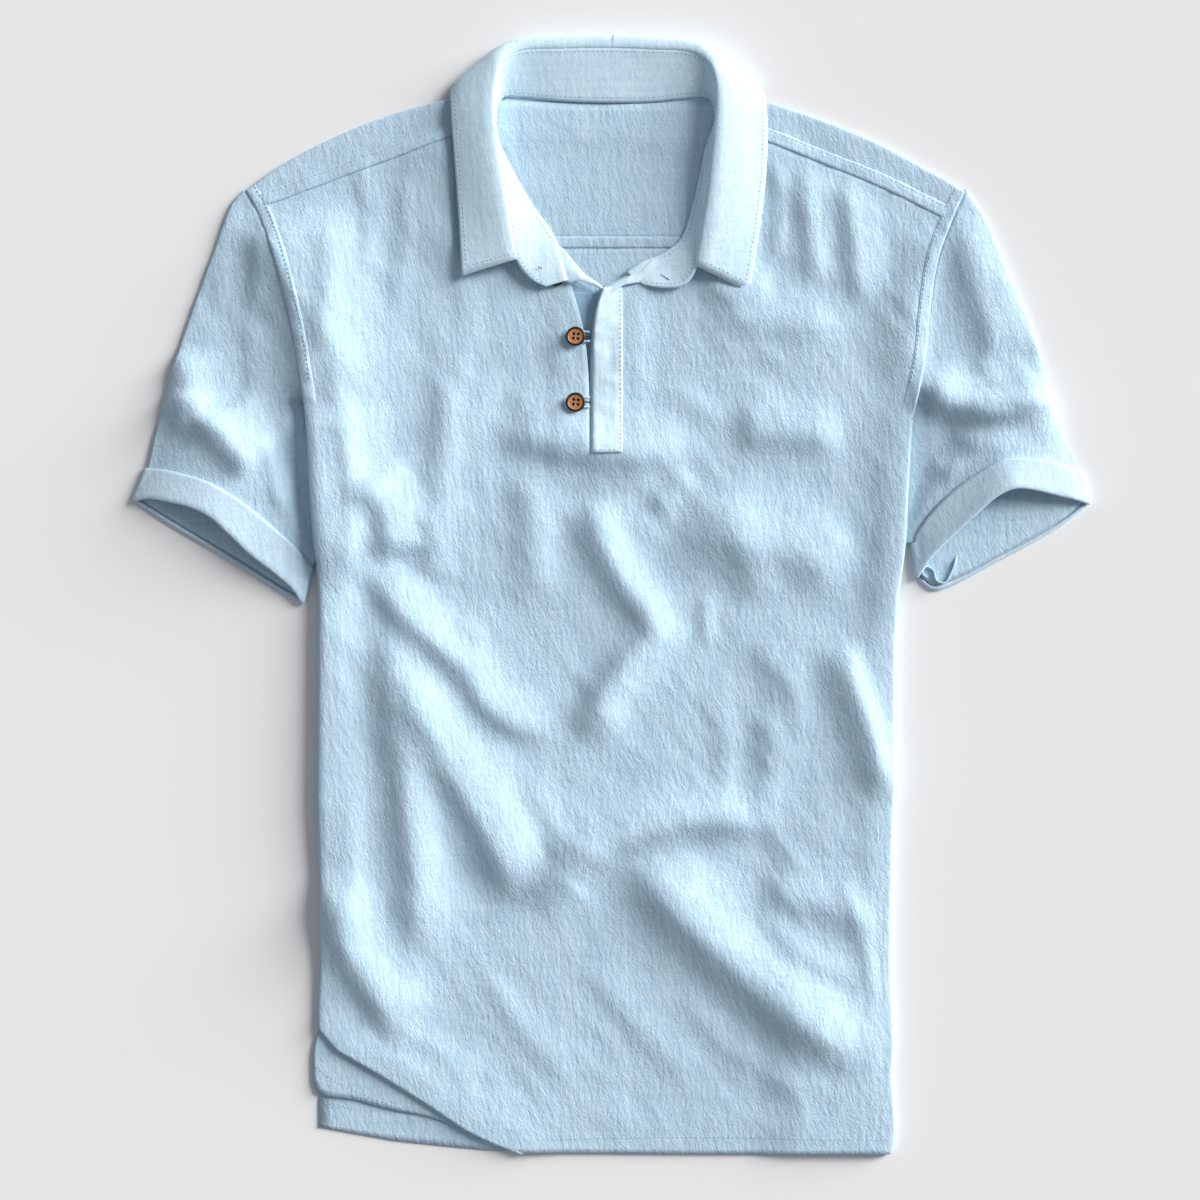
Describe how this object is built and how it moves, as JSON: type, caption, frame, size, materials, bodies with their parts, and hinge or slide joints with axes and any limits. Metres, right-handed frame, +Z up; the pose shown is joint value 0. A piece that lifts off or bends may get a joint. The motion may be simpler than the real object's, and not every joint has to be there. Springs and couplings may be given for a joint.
{
  "type": "short-sleeved popover shirt laid flat",
  "caption": "Light cotton popover shirt with a standing collar, half placket and turned-up cuffs, laid flat on its back.",
  "frame": {"origin": "centre of the laid-out shirt's bounding box, on the surface that it lies on", "axes": "+Y from hem to collar, +Z up from the surface towards the viewer, +X to the viewer's right"},
  "size_m": [0.6418, 0.7495, 0.0195],
  "materials": {
    "shirt_cloth": "matt crinkled cotton",
    "button_wood": "satin"
  },
  "bodies": {
    "root": {"front_panel": "shirt_cloth", "back_panel": "shirt_cloth", "back_yoke": "shirt_cloth", "sleeve_left": "shirt_cloth", "sleeve_right": "shirt_cloth", "cuff_left": "shirt_cloth", "cuff_right": "shirt_cloth", "collar_stand": "shirt_cloth", "collar_leaf": "shirt_cloth", "placket_top": "shirt_cloth", "placket_under": "shirt_cloth", "button_upper": "button_wood", "button_lower": "button_wood", "button_loop_upper": "shirt_cloth", "button_loop_lower": "shirt_cloth"}
  },
  "joints": []
}
